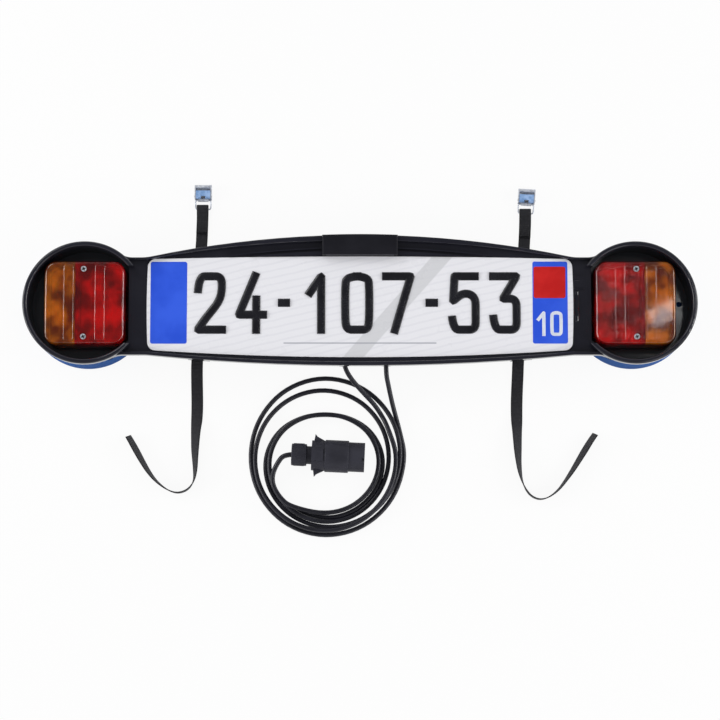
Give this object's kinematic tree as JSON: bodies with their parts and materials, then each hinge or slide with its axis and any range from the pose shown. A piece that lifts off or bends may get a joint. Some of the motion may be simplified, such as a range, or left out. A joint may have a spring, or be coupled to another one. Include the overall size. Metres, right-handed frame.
{
  "type": "trailer lighting board",
  "caption": "Black trailer light board with a bowed number plate, a lamp cluster in each round end, blue rear covers, cam-buckle straps and a coiled lead to a round plug.",
  "frame": {"origin": "middle of the board's footprint on the floor it lies on, under the rear covers", "axes": "+X along the board, to the right as seen from the front; +Y to the board's upper edge; +Z out of the lit front"},
  "size_m": [0.82, 0.4372, 0.066],
  "materials": {
    "board": "glossy black moulding",
    "cover": "blue moulding, satin gloss",
    "red_lens": "clear red",
    "amber_lens": "clear amber",
    "clear_lens": "clear",
    "bulb_glass": "clear",
    "lamp_base": "matt",
    "gasket": "matt",
    "reflector": "bright",
    "terminal": "bright",
    "steel": "zinc plated",
    "plate": "white, gloss",
    "plate_lamp_body": "fine texture",
    "lead": "soft black sheath",
    "plug": "satin",
    "plug_insert": "matt",
    "webbing": "woven black",
    "zinc": "bright zinc",
    "lever": "pale blue over zinc"
  },
  "bodies": {
    "board": {"board_shell": "board", "lead_coil": "lead", "left_amber_lens": "amber_lens", "left_buckle_bail": "zinc", "left_cover_screws": "steel", "left_grommet": "gasket", "left_indicator_bulb": "bulb_glass", "left_inner_lead": "lead", "left_lamp_base": "lamp_base", "left_lamp_bolts": "steel", "left_lamp_bulb_holders": "terminal", "left_lamp_gasket": "gasket", "left_lamp_nuts": "steel", "left_lamp_reflector": "reflector", "left_lead": "lead", "left_lens_screws": "steel", "left_rear_cover": "cover", "left_red_lens": "red_lens", "left_stop_tail_bulb": "bulb_glass", "left_strap": "webbing", "left_tail": "lead", "number_plate": "plate", "plate_lamp_bulb": "bulb_glass", "plate_lamp_contacts": "terminal", "plate_lamp_housing": "plate_lamp_body", "plate_lamp_lens": "clear_lens", "plug_gland_nut": "plug", "plug_insert": "plug_insert", "plug_pins": "terminal", "plug_shell": "plug", "right_amber_lens": "amber_lens", "right_buckle_bail": "zinc", "right_cover_screws": "steel", "right_grommet": "gasket", "right_indicator_bulb": "bulb_glass", "right_inner_lead": "lead", "right_lamp_base": "lamp_base", "right_lamp_bolts": "steel", "right_lamp_bulb_holders": "terminal", "right_lamp_gasket": "gasket", "right_lamp_nuts": "steel", "right_lamp_reflector": "reflector", "right_lead": "lead", "right_lens_screws": "steel", "right_rear_cover": "cover", "right_red_lens": "red_lens", "right_stop_tail_bulb": "bulb_glass", "right_strap": "webbing", "right_tail": "lead"},
    "left_buckle": {"left_buckle_frame": "zinc", "left_buckle_pin": "steel", "left_buckle_spring": "steel"},
    "left_lever": {"left_buckle_lever": "lever"},
    "right_buckle": {"right_buckle_frame": "zinc", "right_buckle_pin": "steel", "right_buckle_spring": "steel"},
    "right_lever": {"right_buckle_lever": "lever"}
  },
  "joints": [
    {"name": "left_buckle_swing", "type": "hinge", "parent": "board", "child": "left_buckle", "pos_m": [-0.195, 0.13245, 0.00275], "axis": [1, 0, 0], "range_deg": [0, 75]},
    {"name": "left_lever_hinge", "type": "hinge", "parent": "left_buckle", "child": "left_lever", "pos_m": [-0.195, 0.13665, 0.0066], "axis": [1, 0, 0], "range_deg": [0, 60], "stiffness_Nm_per_rad": 0.05, "springref_deg": -11.46},
    {"name": "right_buckle_swing", "type": "hinge", "parent": "board", "child": "right_buckle", "pos_m": [0.2067, 0.12745, 0.00275], "axis": [0.9982, -0.0593, 0], "range_deg": [0, 75]},
    {"name": "right_lever_hinge", "type": "hinge", "parent": "right_buckle", "child": "right_lever", "pos_m": [0.20695, 0.13164, 0.0066], "axis": [0.9982, -0.0593, 0], "range_deg": [0, 60], "stiffness_Nm_per_rad": 0.05, "springref_deg": -11.46}
  ]
}
